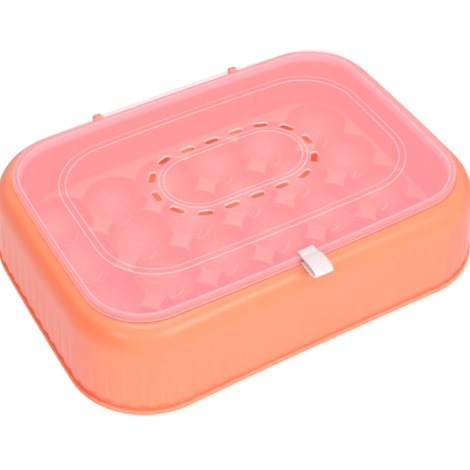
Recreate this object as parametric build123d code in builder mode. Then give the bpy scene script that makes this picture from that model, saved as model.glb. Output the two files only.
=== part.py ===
from build123d import *
import os
from math import asin, atan2, cos, degrees, hypot, radians, sin, sqrt, tan

# Egg keeper with a flip lid: a double-walled body, a drop-in egg tray, a hinged lid and its pull loop.
#
# Frame: +X along the length, -Y to the front (the pull loop), +Z up. The origin is the centre of the
# footprint, on the surface that the body stands on. All sizes are in millimetres.

# ---------------------------------------------------------------- driving dimensions
# Body, at the foot. Lengths and widths are taken at the middle of the sides.
base_length = 325.0
base_width = 233.0
base_corner = 59.4
base_end_bow = 1.9
base_side_bow = -2.7          # the long sides draw in slightly at the bottom
foot_height = 4.3
foot_step = 1.3               # the foot band stands this far out of the wall
foot_edge = 0.8               # bevel on the upper edge of the foot band
wall = 2.0

# Reeded wall and shoulder
wall_top = 49.4               # height where the straight wall turns into the shoulder
wall_lean = 4.9               # how far the wall has leaned in at that height
reed_count = 80
reed_depth = 0.8
reed_step = 0.15              # the reeds end this far inside the shoulder's lower edge
shoulder_top = 71.1
shoulder_bands = 5            # flat-sided bands that make up the round of the shoulder, outside
hollow_bands = 2              # and inside

# Lid
lid_length = 290.4
lid_width = 201.2
lid_corner = 43.8
lid_end_bow = 2.6
lid_side_bow = 3.3
lid_top = 76.3
lid_wall = 1.6
lid_skirt_foot = 71.5         # height of the skirt's lower edge
lid_edge = 4.0                # round of the lid's upper edge, outside
lid_edge_bands = 3            # flat-sided bands that make up that round, outside
lid_inner_bands = 1           # and inside

# Raised beads and vents of the lid
bead_height = 0.6
ring_length = 242.7
ring_width = 145.0
ring_corner = 46.0
ring_end_bow = 1.0
ring_side_bow = 2.7
ring_bead = 6.0
oval_length = 114.9
oval_width = 57.9
oval_bead = 4.9
oval_y = 0.6                  # the oval and its vents sit this far behind the middle of the lid
vent_track_length = 123.2
vent_track_width = 66.4
vent_count = 16
vent_length = 11.2
vent_width = 4.8

# Egg tray: a deep tray that hangs by its flange in the top opening of the body
tray_top = 25.8               # height of the plate that the cups are sunk into
tray_plate = 1.8
tray_wall = 1.5
tray_draft = 1.0              # the tray's wall draws in by this much from its lip to the plate
flange_clearance = 0.6        # between the flange and the inside of the lid's skirt
flange_seat = 1.0             # width of flange that lies on the body
flange_thickness = 1.2
opening_clearance = 0.4       # between the tray's wall and the edge of the body's opening
lip_gap = 0.25                # between the tray's lip and the underside of the closed lid
cup_columns = 6
cup_rows = 4
cup_pitch_x = 44.8
cup_pitch_y = 42.7
cup_mouth = 24.2              # radius of a cup at the top of the plate
cup_seat = 7.0                # radius of the flat at the bottom of a cup
cup_floor = 4.4               # height of that flat
cup_wall = 1.5
cup_sides = 12                # the bowls are faceted: the sides of each one,
cup_bands = (8.0, 14.6)       # and the heights where their slope changes

# Hinge
hinge_y = 104.5
hinge_z = 69.0
hinge_span = 111.4            # between the inner faces of the two ears
ear_radius = 4.5
ear_width = 5.4
barrel_radius = 3.0
trunnion_radius = 2.0
trunnion_clearance = 0.05
ear_gap = 0.3                 # between the lid's leaf and each ear
groove_clearance = 0.6
leaf_thickness = 1.8
ear_notch = 0.6               # room round the ears in the skirt of the lid
trunnion_set_back = 0.2       # the trunnions end this far inside the ears' outer faces
leaf_reach = 100.4            # where the flat top of the leaf ends and its slope begins

# Pull loop
strap_thickness = 1.4
strap_width = 13.8
strap_foot_width = 12.4
strap_foot_start = 94.4       # distances of the strap forward of the lid's centre
strap_foot_end = 97.4
strap_wide_start = 103.0
strap_front = 118.4
strap_top = 79.0
strap_bottom = 71.3
strap_gap = 0.1               # between the end of the strap and the skirt that it butts against
peg_radius = 0.9
peg_spacing = 7.0
peg_y = 95.4                  # clear of the round on the edge of the lid
peg_clearance = 0.05

# ---------------------------------------------------------------- derived sizes
lid_underside = lid_top - lid_wall
lip_top = lid_underside - lip_gap
# distances inward from the outside of the lid's skirt
flange_inset = lid_wall + flange_clearance
opening_inset = flange_inset + flange_seat
tray_inset = opening_inset + opening_clearance
end_lean = (base_length - lid_length) / 2      # total lean of the body, foot to lid
wall_rise = wall_lean / end_lean
foot_rise = foot_step / end_lean
leaf_length = hinge_span - 2 * ear_gap
ear_x = (hinge_span + ear_width) / 2
ear_hole = trunnion_radius + trunnion_clearance
bowl_centre = (cup_mouth**2 + tray_top**2 - cup_seat**2 - cup_floor**2) / (2 * (tray_top - cup_floor))
bowl_radius = sqrt(cup_mouth**2 + (bowl_centre - tray_top) ** 2)


# ---------------------------------------------------------------- outlines
def bowed_outline(length, width, corner, end_bow, side_bow):
    """A round-cornered rectangle whose sides bow outward, or inward where the bow is negative."""
    x = length / 2 - end_bow
    y = width / 2 - side_bow
    with BuildSketch() as outline:
        with BuildLine():
            ThreePointArc((-x, -y), (0, -width / 2), (x, -y))
            ThreePointArc((x, -y), (length / 2, 0), (x, y))
            ThreePointArc((x, y), (0, width / 2), (-x, y))
            ThreePointArc((-x, y), (-length / 2, 0), (-x, -y))
        make_face()
        fillet(outline.vertices(), corner)
    return outline.sketch


def between(low, high, rise):
    """A size part way from the foot (rise 0) to the rim (rise 1)."""
    return low + (high - low) * rise


def body_outline(rise, inset=0.0):
    """Outline of the body part way from the foot to the rim, moved in by inset."""
    return bowed_outline(
        between(base_length, lid_length, rise) - 2 * inset,
        between(base_width, lid_width, rise) - 2 * inset,
        between(base_corner, lid_corner, rise) - inset,
        between(base_end_bow, lid_end_bow, rise),
        between(base_side_bow, lid_side_bow, rise),
    )


def lid_outline(inset=0.0):
    """Outline of the lid's skirt, moved in by inset."""
    return body_outline(1, inset)


def ring_outline(inset=0.0):
    """Outline of the stacking ring on the lid, moved in by inset."""
    return bowed_outline(
        ring_length - 2 * inset,
        ring_width - 2 * inset,
        ring_corner - inset,
        ring_end_bow,
        ring_side_bow,
    )


def reeded_outline(rise, depth, inset=0.0):
    """Body outline made of shallow reeds of two flats each, with valleys of the given depth between them."""
    edge = body_outline(rise, inset).face().outer_wire()
    centre = edge.center()
    # one reed stands on the middle of the front
    front = edge.param_at_point((0, inset - between(base_width, lid_width, rise) / 2))

    def point(place, depth):
        share = (front + place / reed_count) % 1
        along = edge.tangent_at(share)
        inward = Vector(-along.Y, along.X)
        if inward.dot(centre - edge.position_at(share)) < 0:
            inward = -inward
        return edge.position_at(share) + inward * depth

    corners = []
    for reed in range(reed_count):
        corners += [point(reed - 0.5, depth), point(reed, 0)]
    with BuildSketch() as outline:
        with BuildLine():
            Polyline(*corners, close=True)
        make_face()
    return outline.sketch


def shoulder_sections(bands, inset=0.0):
    """Heights and rises of the shoulder, a quarter ellipse from the wall up to the lid's skirt."""
    for band in range(bands + 1):
        angle = radians(90 * band / bands)
        height = wall_top + (shoulder_top - inset - wall_top) * sin(angle)
        rise = wall_rise + (1 - wall_rise) * (1 - cos(angle))
        yield height, rise


# ---------------------------------------------------------------- hollow under the body
with BuildPart() as under_side:
    # straight wall, from below the foot up to the shoulder
    with BuildSketch():
        add(body_outline(foot_rise, wall))
    with BuildSketch(Plane.XY.offset(wall_top)):
        add(body_outline(wall_rise, wall))
    loft(ruled=True)
    # shoulder
    for height, rise in shoulder_sections(hollow_bands, wall):
        with BuildSketch(Plane.XY.offset(height)):
            add(body_outline(rise, wall))
    loft(ruled=True)
    # wall kept round the hinge groove
    with Locations((0, hinge_y, hinge_z)):
        Cylinder(
            barrel_radius + groove_clearance + wall,
            hinge_span + 2 * wall,
            rotation=(0, 90, 0),
            mode=Mode.SUBTRACT,
        )

# ---------------------------------------------------------------- body shell
with BuildPart() as body_shell:
    # foot band
    with BuildSketch():
        add(body_outline(0))
    extrude(amount=foot_height)
    chamfer(body_shell.faces().sort_by(Axis.Z)[-1].outer_wire().edges(), foot_edge)
    # reeded wall: full depth above the foot, faded out at the shoulder
    with BuildSketch(Plane.XY.offset(foot_height)):
        add(reeded_outline(foot_rise, reed_depth))
    with BuildSketch(Plane.XY.offset(wall_top)):
        add(reeded_outline(wall_rise, 0, reed_step))
    loft(ruled=True)
    # shoulder
    for height, rise in shoulder_sections(shoulder_bands):
        with BuildSketch(Plane.XY.offset(height)):
            add(body_outline(rise))
    loft(ruled=True)
    # hollow underneath, open to the surface that the body stands on, and the opening for the tray
    add(under_side.part, mode=Mode.SUBTRACT)
    with BuildSketch(Plane.XY.offset(shoulder_top)):
        add(lid_outline(opening_inset))
    extrude(amount=-2 * wall, mode=Mode.SUBTRACT)
    # hinge: two ears standing on the back shoulder and a groove for the lid's barrel between them
    with Locations((-ear_x, hinge_y, hinge_z), (ear_x, hinge_y, hinge_z)):
        Cylinder(ear_radius, ear_width, rotation=(0, 90, 0))
        Cylinder(ear_hole, ear_width, rotation=(0, 90, 0), mode=Mode.SUBTRACT)
    with Locations((0, hinge_y, hinge_z)):
        Cylinder(barrel_radius + groove_clearance, hinge_span, rotation=(0, 90, 0), mode=Mode.SUBTRACT)

body_shell.part.label = "body_shell"

# ---------------------------------------------------------------- egg tray
cup_places = GridLocations(cup_pitch_x, cup_pitch_y, cup_columns, cup_rows)


def cup_form(levels, radius):
    """A faceted bowl with a flat bottom, cut from a ball of the given radius at these heights."""
    with BuildPart() as form:
        for low, high in zip(levels, levels[1:]):
            reach = sqrt(radius**2 - (bowl_centre - low) ** 2)
            growth = sqrt(radius**2 - (bowl_centre - high) ** 2) - reach
            with BuildSketch(Plane.XY.offset(low)):
                # flats face the neighbouring cups
                RegularPolygon(reach, cup_sides, major_radius=False, rotation=180 / cup_sides)
            extrude(amount=high - low, taper=-degrees(atan2(growth, high - low)))
    return form.part


cup_inside = cup_form((cup_floor, *cup_bands, tray_top), bowl_radius)
cup_outside = cup_form((cup_floor - cup_wall, *cup_bands, tray_top - tray_plate), bowl_radius + cup_wall)

# all the bowls inside the tray's wall, which cuts the outermost ones short
with BuildPart() as bowls:
    with cup_places:
        add(cup_inside)
    with BuildSketch():
        add(lid_outline(tray_inset + tray_wall + tray_draft))
    extrude(amount=tray_top, mode=Mode.INTERSECT)

# the cups run into each other, so that only star-shaped posts of the plate stand between them
with BuildPart() as egg_tray:
    with cup_places:
        add(cup_outside)
    with BuildSketch():
        add(lid_outline(tray_inset + tray_draft))
    extrude(amount=tray_top, mode=Mode.INTERSECT)
    # plate and wall
    with BuildSketch(Plane.XY.offset(tray_top - tray_plate)):
        add(lid_outline(tray_inset + tray_draft))
    with BuildSketch(Plane.XY.offset(lip_top)):
        add(lid_outline(tray_inset))
    loft(ruled=True)
    with BuildSketch(Plane.XY.offset(shoulder_top)):
        add(lid_outline(flange_inset))
    extrude(amount=flange_thickness)
    with BuildSketch(Plane.XY.offset(tray_top)):
        add(lid_outline(tray_inset + tray_wall + tray_draft))
    with BuildSketch(Plane.XY.offset(lip_top)):
        add(lid_outline(tray_inset + tray_wall))
    loft(ruled=True, mode=Mode.SUBTRACT)
    add(bowls.part, mode=Mode.SUBTRACT)

egg_tray.part.label = "egg_tray"

# ---------------------------------------------------------------- lid
def lid_block(top, inset, edge, bands):
    """The lid's outline, moved in by inset, from the skirt's lower edge up to a rounded upper edge."""
    with BuildPart() as block:
        with BuildSketch(Plane.XY.offset(lid_skirt_foot)):
            add(lid_outline(inset))
        extrude(amount=top - edge - lid_skirt_foot)
        for band in range(bands + 1):
            angle = radians(90 * band / bands)
            with BuildSketch(Plane.XY.offset(top - edge * (1 - sin(angle)))):
                add(lid_outline(inset + edge * (1 - cos(angle))))
        loft(ruled=True)
    return block.part


# the leaf slopes from the flat of the lid down to the back of the hinge barrel
leaf_run = hinge_y - leaf_reach
leaf_drop = lid_top - hinge_z
leaf_slope = atan2(leaf_drop, leaf_run) - asin(barrel_radius / hypot(leaf_run, leaf_drop))
leaf_normal = Vector(sin(leaf_slope), cos(leaf_slope))
leaf_outer = Vector(hinge_y, hinge_z) + leaf_normal * barrel_radius
leaf_inner = leaf_outer - leaf_normal * leaf_thickness
leaf_root = leaf_inner.X - (lid_underside - leaf_inner.Y) / tan(leaf_slope)
leaf_start = lid_width / 2 - lid_edge

with BuildPart() as lid:
    # top and skirt
    add(lid_block(lid_top, 0, lid_edge, lid_edge_bands))
    add(lid_block(lid_underside, lid_wall, lid_edge - lid_wall, lid_inner_bands), mode=Mode.SUBTRACT)
    # stacking ring and oval panel, outlined by raised beads
    with BuildSketch(Plane.XY.offset(lid_top)):
        add(ring_outline())
        add(ring_outline(ring_bead), mode=Mode.SUBTRACT)
        with Locations((0, oval_y)):
            SlotOverall(oval_length, oval_width)
            SlotOverall(oval_length - 2 * oval_bead, oval_width - 2 * oval_bead, mode=Mode.SUBTRACT)
    extrude(amount=bead_height)
    # vents, evenly spaced round the oval, the first one at its +X end
    with BuildSketch() as vent:
        Rectangle(vent_length, vent_width)
        chamfer(vent.vertices(), vent_width / 3)
    with BuildSketch() as vent_track:
        SlotOverall(vent_track_length, vent_track_width)
    track = vent_track.face().outer_wire()
    track_start = track.param_at_point((vent_track_length / 2, 0))
    with BuildSketch(Plane.XY.offset(lid_top)):
        for number in range(vent_count):
            share = (track_start + number / vent_count) % 1
            place = track.position_at(share)
            along = track.tangent_at(share)
            with Locations(Location((place.X, place.Y + oval_y), degrees(atan2(along.Y, along.X)))):
                add(vent.sketch)
    extrude(amount=-lid_wall, mode=Mode.SUBTRACT)
    # holes for the pegs of the pull loop
    with BuildSketch(Plane.XY.offset(lid_top)):
        with Locations((0, -peg_y)):
            with GridLocations(peg_spacing, 0, 2, 1):
                Circle(peg_radius + peg_clearance)
    extrude(amount=-lid_wall, mode=Mode.SUBTRACT)
    # hinge leaf and barrel between the ears
    with BuildSketch(Plane.YZ):
        with BuildLine():
            Polyline(
                (leaf_start, lid_top),
                (leaf_reach, lid_top),
                (leaf_outer.X, leaf_outer.Y),
                (leaf_inner.X, leaf_inner.Y),
                (leaf_root, lid_underside),
                (leaf_start, lid_underside),
                close=True,
            )
        make_face()
        with Locations((hinge_y, hinge_z)):
            Circle(barrel_radius)
    extrude(amount=leaf_length / 2, both=True)
    # room for the ears, then the trunnions that turn in them
    with Locations((-ear_x, hinge_y, hinge_z), (ear_x, hinge_y, hinge_z)):
        Cylinder(ear_radius + ear_notch, ear_width + 2 * ear_gap, rotation=(0, 90, 0), mode=Mode.SUBTRACT)
    with Locations((0, hinge_y, hinge_z)):
        Cylinder(trunnion_radius, hinge_span + 2 * ear_width - 2 * trunnion_set_back, rotation=(0, 90, 0))

lid.part.label = "lid"

# ---------------------------------------------------------------- pull loop
strap_bend = (strap_top - strap_bottom - strap_thickness) / 2
with BuildPart() as pull_loop:
    # side profile: a foot on the lid, a rise to the front bend, and back under to the skirt
    with BuildSketch(Plane.YZ):
        with BuildLine():
            foot = Line(
                (-strap_foot_start, lid_top + strap_thickness / 2),
                (-strap_foot_end, lid_top + strap_thickness / 2),
            )
            bend_y = -strap_front + strap_thickness / 2 + strap_bend
            rise = Spline(
                foot @ 1,
                (bend_y, strap_top - strap_thickness / 2),
                tangents=(foot % 1, foot % 1),
            )
            bend = ThreePointArc(
                rise @ 1,
                (bend_y - strap_bend, (strap_top + strap_bottom) / 2),
                (bend_y, strap_bottom + strap_thickness / 2),
            )
            Line(bend @ 1, (-lid_width / 2 - strap_gap, strap_bottom + strap_thickness / 2))
        trace(line_width=strap_thickness)
    extrude(amount=strap_width / 2, both=True)
    # the strap narrows towards its foot
    with BuildSketch(Plane.XY.offset(strap_bottom)):
        with BuildLine():
            Polyline(
                (-strap_foot_width / 2, -strap_foot_start),
                (-strap_foot_width / 2, -strap_foot_end),
                (-strap_width / 2, -strap_wide_start),
                (-strap_width / 2, -strap_front),
                (strap_width / 2, -strap_front),
                (strap_width / 2, -strap_wide_start),
                (strap_foot_width / 2, -strap_foot_end),
                (strap_foot_width / 2, -strap_foot_start),
                close=True,
            )
        make_face()
    extrude(amount=strap_top - strap_bottom, mode=Mode.INTERSECT)
    # pegs through the lid
    with BuildSketch(Plane.XY.offset(lid_top)):
        with Locations((0, -peg_y)):
            with GridLocations(peg_spacing, 0, 2, 1):
                Circle(peg_radius)
    extrude(amount=-lid_wall)

pull_loop.part.label = "pull_loop"

# ---------------------------------------------------------------- files
os.makedirs("parts", exist_ok=True)
for piece in (body_shell, egg_tray, lid, pull_loop):
    export_step(piece.part, f"parts/{piece.part.label}.step")
    print(piece.part.label, round(piece.part.volume), "mm3")
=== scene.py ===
# %% [markdown]
# # An egg keeper with a flip lid
# The object is a low box of translucent plastic for two dozen eggs. A reeded housing stands on a foot
# band and rounds over into a shoulder. A tray of round cups hangs in its top opening, and a thin milky lid
# turns on two ears at the back. The solids that the joints move come in first, and everything that is made
# here sits in their frame, in metres, with +X along the length and -Y towards the front.
# %% Load the frame
import math

import bmesh
import bpy
import numpy as np
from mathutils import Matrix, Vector, kdtree


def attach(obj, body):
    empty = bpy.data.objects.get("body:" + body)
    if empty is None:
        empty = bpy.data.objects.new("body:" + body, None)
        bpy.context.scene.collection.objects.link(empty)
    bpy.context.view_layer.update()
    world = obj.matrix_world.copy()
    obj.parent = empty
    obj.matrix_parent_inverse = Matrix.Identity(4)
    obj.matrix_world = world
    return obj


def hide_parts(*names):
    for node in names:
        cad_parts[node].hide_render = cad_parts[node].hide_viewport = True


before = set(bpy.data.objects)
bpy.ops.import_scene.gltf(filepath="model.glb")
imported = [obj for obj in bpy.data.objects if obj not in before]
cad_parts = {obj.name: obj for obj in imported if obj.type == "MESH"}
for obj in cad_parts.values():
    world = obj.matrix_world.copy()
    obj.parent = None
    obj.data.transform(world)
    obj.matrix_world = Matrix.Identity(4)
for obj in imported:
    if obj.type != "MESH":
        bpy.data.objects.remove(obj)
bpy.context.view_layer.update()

# %% [markdown]
# ## Sizes
# The sizes are in millimetres: the housing at its foot and at its rim, the lid and the beads on it, the vents
# and the hinge. Everything is built in millimetres and turned into metres when a mesh is stored.
# %% Sizes in millimetres
MM = 0.001
BASE = dict(length=325.0, width=233.0, corner=59.4, end_bow=1.9, side_bow=-2.7)
RIM = dict(length=290.4, width=201.2, corner=43.8, end_bow=2.6, side_bow=3.3)
RING = dict(length=242.7, width=145.0, corner=46.0, end_bow=1.0, side_bow=2.7)
FOOT_HEIGHT, FOOT_STEP, FOOT_EDGE, WALL = 3.6, 0.8, 0.6, 2.0
WALL_TOP, WALL_LEAN, SHOULDER_TOP = 49.4, 4.9, 71.1
REEDS, REED_DEPTH, REED_FOOT, REED_FADE = 80, 0.8, 6.6, (30.0, 120.0)
LID_TOP, LID_WALL, LID_EDGE, SKIRT_FOOT = 76.3, 1.6, 1.9, 71.5
LID_GAP, RIM_LEDGE = 0.6, 1.0
BEAD_HEIGHT, RING_BEAD = 0.6, 6.0
OVAL_LENGTH, OVAL_WIDTH, OVAL_BEAD, OVAL_Y = 114.9, 57.9, 4.9, 0.6
VENTS, VENT_LENGTH, VENT_WIDTH = 16, 11.2, 4.8
VENT_TRACK_LENGTH, VENT_TRACK_WIDTH = 123.2, 66.4
HINGE_Y, HINGE_Z, HINGE_SPAN = 104.5, 69.0, 111.4
EAR_RADIUS, EAR_WIDTH, BARREL_RADIUS, TRUNNION_RADIUS = 4.5, 5.4, 3.0, 2.0
GROOVE_GAP, TRUNNION_GAP, EAR_ROOM, EAR_EDGE = 0.6, 0.05, 0.6, 0.8
print("overall length", BASE["length"], "mm, rim", RIM["length"], "x", RIM["width"], "mm")

# %% [markdown]
# ## The outline that everything shares
# Seen from above, each level of the housing, the tray and the lid is a rectangle whose sides bow a little and
# whose corners are round. A scaled cube could never give that, so the outline is worked out from its arcs:
# the corner circle has to touch both side arcs. Points are spread evenly along it, starting at the middle
# of the front, so that rings of different size match point for point and can be skinned with quads.
# %% Bowed outline
def corner_centre(length, width, corner, long_radius, end_radius):
    """Centre of the corner circle that touches the front arc and the end arc."""
    x, y = length / 2 - corner, -(width / 2 - corner)
    for _ in range(30):
        u, v = y + width / 2 - long_radius, x - length / 2 + end_radius
        f = np.array([x * x + u * u - (long_radius - corner) ** 2, v * v + y * y - (end_radius - corner) ** 2])
        x, y = np.array([x, y]) - np.linalg.solve([[2 * x, 2 * u], [2 * v, 2 * y]], f)
    return np.array([x, y])


def arc(centre, start, end, count, outward):
    """Points and outward normals along the shorter arc round centre from start to end."""
    a, b = (math.atan2(*(p - centre)[::-1]) for p in (start, end))
    b = a + (b - a + math.pi) % (2 * math.pi) - math.pi
    angle = np.linspace(a, b, count)
    spoke = np.stack([np.cos(angle), np.sin(angle)], 1)
    return centre + spoke * np.linalg.norm(start - centre), spoke * outward


def evenly(points, values, count, phase=0.0):
    """Values at even steps of the way along points, from a start that is moved on by phase steps."""
    way = np.concatenate([[0], np.cumsum(np.linalg.norm(np.diff(points, axis=0), axis=1))])
    at = ((np.arange(count) + phase) / count % 1) * way[-1]
    return np.stack([np.interp(at, way, values[:, i]) for i in (0, 1)], 1)


def outline(length, width, corner, end_bow, side_bow, inset=0.0, count=320, phase=0.0):
    """Evenly spaced points and normals of a bowed outline, counter-clockwise from the middle of the front."""
    length, width, corner = length - 2 * inset, width - 2 * inset, corner - inset
    x, y = length / 2 - end_bow, width / 2 - side_bow
    long_radius = (x * x + side_bow**2) / (2 * side_bow)
    end_radius = (y * y + end_bow**2) / (2 * end_bow)
    front = np.array([0.0, long_radius - width / 2])
    end = np.array([length / 2 - end_radius, 0.0])
    middle = corner_centre(length, width, corner, long_radius, end_radius)
    first = front + (middle - front) * long_radius / (long_radius - corner)
    second = end + (middle - end) * end_radius / (end_radius - corner)
    runs = [
        arc(front, np.array([0.0, -width / 2]), first, 80, math.copysign(1, long_radius)),
        arc(middle, first, second, 80, 1),
        arc(end, second, np.array([length / 2, 0.0]), 60, 1),
    ]
    points = np.concatenate([r[0] for r in runs])
    normals = np.concatenate([r[1] for r in runs])
    for mirror in ((1, -1), (-1, 1)):
        points = np.concatenate([points, points[::-1] * mirror])
        normals = np.concatenate([normals, normals[::-1] * mirror])
    normal = evenly(points, normals, count, phase)
    return evenly(points, points, count, phase), normal / np.linalg.norm(normal, axis=1, keepdims=True)


def ring(points, height):
    """The outline's points lifted to a height."""
    return np.column_stack([points, np.full(len(points), height)])


print("rim corner starts at", np.round(outline(**RIM)[0][0], 1), "mm")

# %% [markdown]
# ## From rings to a mesh
# A moulding is a stack of rings with quads between them. The helper below skins such a stack, closes it, and
# gives each band of quads its own material number, so that an edge or a bead can have its own finish.
# %% Skin a stack of rings
def put(name, data):
    """A new object with this data, linked into the scene."""
    thing = bpy.data.objects.new(name, data)
    bpy.context.scene.collection.objects.link(thing)
    return thing


def smooth(mesh, sharp):
    """Smooth shading, except at edges sharper than the given angle in degrees."""
    mesh.shade_smooth()
    mesh.set_sharp_from_angle(angle=math.radians(sharp))


def store(name, vertices, faces, materials=None, sharp=32):
    """A new object from millimetre vertices, smooth except at edges sharper than the given angle."""
    mesh = bpy.data.meshes.new(name)
    mesh.from_pydata([tuple(v) for v in np.asarray(vertices) * MM], [], faces)
    if materials is not None:
        mesh.polygons.foreach_set("material_index", materials)
    work = bmesh.new()
    work.from_mesh(mesh)
    bmesh.ops.remove_doubles(work, verts=work.verts, dist=2e-6)
    bmesh.ops.dissolve_degenerate(work, edges=work.edges, dist=1e-6)
    bmesh.ops.recalc_face_normals(work, faces=work.faces)
    work.to_mesh(mesh)
    work.free()
    smooth(mesh, sharp)
    return put(name, mesh)


def skin(name, rings, closed, material_of=None, sharp=32):
    """Quads between neighbouring rings. An open stack gets a flat face at each end."""
    count = len(rings[0])
    vertices = np.concatenate(rings)
    faces, materials = [], []
    pairs = len(rings) if closed else len(rings) - 1
    for level in range(pairs):
        low, high = level * count, (level + 1) % len(rings) * count
        for i in range(count):
            j = (i + 1) % count
            faces.append((low + i, low + j, high + j, high + i))
            materials.append(material_of[level] if material_of else 0)
    if not closed:
        faces.append(tuple(range(count))[::-1])
        faces.append(tuple(range(len(vertices) - count, len(vertices))))
        materials += [material_of[0] if material_of else 0, material_of[-1] if material_of else 0]
    return store(name, vertices, faces, materials, sharp)


def combine(piece, tool, operation, sharp=32):
    """Unites, cuts or intersects piece with tool, and removes the tool."""
    modifier = piece.modifiers.new("combine", "BOOLEAN")
    modifier.operation = operation
    modifier.solver = "EXACT"
    modifier.object = tool
    graph = bpy.context.evaluated_depsgraph_get()
    mesh = bpy.data.meshes.new_from_object(piece.evaluated_get(graph))
    piece.modifiers.clear()
    piece.data = mesh
    bpy.data.objects.remove(tool)
    smooth(mesh, sharp)


def rod(name, radius, half_length, x=0.0, y=0.0, z=0.0, sides=48, round_edge=0.0):
    """A cylinder along X, with its rims rounded where asked."""
    steps = [(half_length, radius)]
    if round_edge:
        steps = [
            (half_length - round_edge * (1 - math.cos(a)), radius - round_edge * (1 - math.sin(a)))
            for a in np.radians([0, 30, 60, 90])
        ]
    profile = [(-h, r) for h, r in steps] + [(h, r) for h, r in reversed(steps)]
    turn = np.linspace(0, 2 * math.pi, sides, endpoint=False)
    rings = [np.stack([np.full(sides, x + h), y + r * np.cos(turn), z + r * np.sin(turn)], 1) for h, r in profile]
    return skin(name, rings, closed=False)


print("mesh helpers ready")

# %% [markdown]
# ## The housing
# The real housing is one moulding: a foot band, a wall of shallow convex reeds that fade out towards the top,
# and a shoulder that rounds in to the lid. It is hollow below. Its section is walked once round, outside up
# and inside down, and one ring is laid at each step. The reeds are a scalloped shift along the normal,
# deepest at the foot.
# %% Levels of the housing
LEAN = (BASE["length"] - RIM["length"]) / 2
FOOT_RISE, WALL_RISE = FOOT_STEP / LEAN, WALL_LEAN / LEAN
OPENING_INSET = LID_WALL + LID_GAP + RIM_LEDGE
PER_REED = 10


def body_ring(rise, inset, height, reed=0.0):
    """One level of the housing, part way from the foot to the rim, with reeds of the given depth."""
    size = {k: BASE[k] + (RIM[k] - BASE[k]) * rise for k in BASE}
    count = REEDS * PER_REED
    points, normals = outline(**size, inset=inset, count=count, phase=-PER_REED / 2)
    return ring(points - normals * (reed * valley_share() * reed_strength(points))[:, None], height)


def valley_share():
    """0 on the crest of each reed and 1 in the valley beside it, for one ring of the housing."""
    share = np.arange(REEDS * PER_REED) % PER_REED / PER_REED
    return (2 * share - 1) ** 2


def reed_strength(points):
    """The reeds are full at the ends and round the corners, and fade along the middle of the long sides."""
    share = np.clip((np.abs(points[:, 0]) - REED_FADE[0]) / (REED_FADE[1] - REED_FADE[0]), 0, 1)
    return 0.3 + 0.7 * share * share * (3 - 2 * share)


def quarter(steps):
    """Angles from 0 to 90 degrees, in radians."""
    return np.radians(np.linspace(0, 90, steps + 1))


def shoulder_ring(angle, inset, top):
    """One level of the rounded shoulder, which is a quarter ellipse from the wall up to the given top."""
    rise = WALL_RISE + (1 - WALL_RISE) * (1 - math.cos(angle))
    return body_ring(rise, inset, WALL_TOP + (top - WALL_TOP) * math.sin(angle))


print("points on one level of the housing:", REEDS * PER_REED)

# %% [markdown]
# The lip of the foot band has a rounded upper edge. Above it the wall steps in, and the foot of each reed stands
# on a small tip of the band. The rim of the opening has a narrow ledge under the lid's skirt.
# %% Housing
section = [body_ring(0, 0.3, 0), body_ring(0, 0, 0.3), body_ring(0, 0, FOOT_HEIGHT - FOOT_EDGE)]
for a in quarter(3)[1:]:
    section.append(body_ring(0, FOOT_EDGE * (1 - math.cos(a)), FOOT_HEIGHT - FOOT_EDGE * (1 - math.sin(a))))
section.append(body_ring(FOOT_RISE, REED_DEPTH, FOOT_HEIGHT))
for height, tips, inset, reed in (
    (REED_FOOT - 0.6, 2.6, REED_DEPTH, 0),
    (REED_FOOT, 2.4, 0.1, REED_DEPTH - 0.1),
    (REED_FOOT + 0.6, 2.2, 0, REED_DEPTH),
):
    share = (height - FOOT_HEIGHT) / (WALL_TOP - FOOT_HEIGHT)
    level = body_ring(FOOT_RISE + (WALL_RISE - FOOT_RISE) * share, inset, height, reed)
    level[:, 2] += tips * valley_share() * reed_strength(level[:, :2])
    section.append(level)
for share in (0.2, 0.3, 0.45, 0.6, 0.75, 0.88, 0.96):
    height = FOOT_HEIGHT + (WALL_TOP - FOOT_HEIGHT) * share
    fade = REED_DEPTH * (1 - share)
    section.append(body_ring(FOOT_RISE + (WALL_RISE - FOOT_RISE) * share, 0, height, fade))
section += [shoulder_ring(a, 0, SHOULDER_TOP) for a in quarter(14)]
section += [body_ring(1, 0.2, SHOULDER_TOP), body_ring(1, 0.4, SHOULDER_TOP - 0.15)]
section += [body_ring(1, OPENING_INSET - 0.4, SHOULDER_TOP - 0.15)]
section += [body_ring(1, OPENING_INSET, SHOULDER_TOP - down) for down in (0.4, WALL)]
section += [shoulder_ring(a, WALL, SHOULDER_TOP - WALL) for a in quarter(8)[::-1]]
section.append(body_ring(FOOT_RISE, WALL, 0))
housing = skin("housing", section, closed=True)
print("housing faces before the hinge", len(housing.data.polygons))

# %% [markdown]
# ## Groove and ears
# At the back a groove makes room for the lid's barrel, and an ear with a hole stands at each end of it. The
# groove would break through the thin shoulder, so a thicker backing is added inside first, kept within the
# housing's outside by a block that lies just under the surface.
# %% Hinge groove and ears
EAR_X = (HINGE_SPAN + EAR_WIDTH) / 2
BACKING_DEPTH, BACKING_FOOT = 0.4, 20
groove_radius = BARREL_RADIUS + GROOVE_GAP
groove = rod("groove", groove_radius, HINGE_SPAN / 2, y=HINGE_Y, z=HINGE_Z)
backing = rod("backing", groove_radius + WALL, HINGE_SPAN / 2 + WALL, y=HINGE_Y, z=HINGE_Z)
inside = [body_ring(FOOT_RISE, BACKING_DEPTH, BACKING_FOOT)]
inside += [shoulder_ring(a, BACKING_DEPTH, SHOULDER_TOP - BACKING_DEPTH) for a in quarter(10)]
combine(backing, skin("inside", inside, closed=False), "INTERSECT")
combine(housing, backing, "UNION")
combine(housing, groove, "DIFFERENCE")
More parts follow.
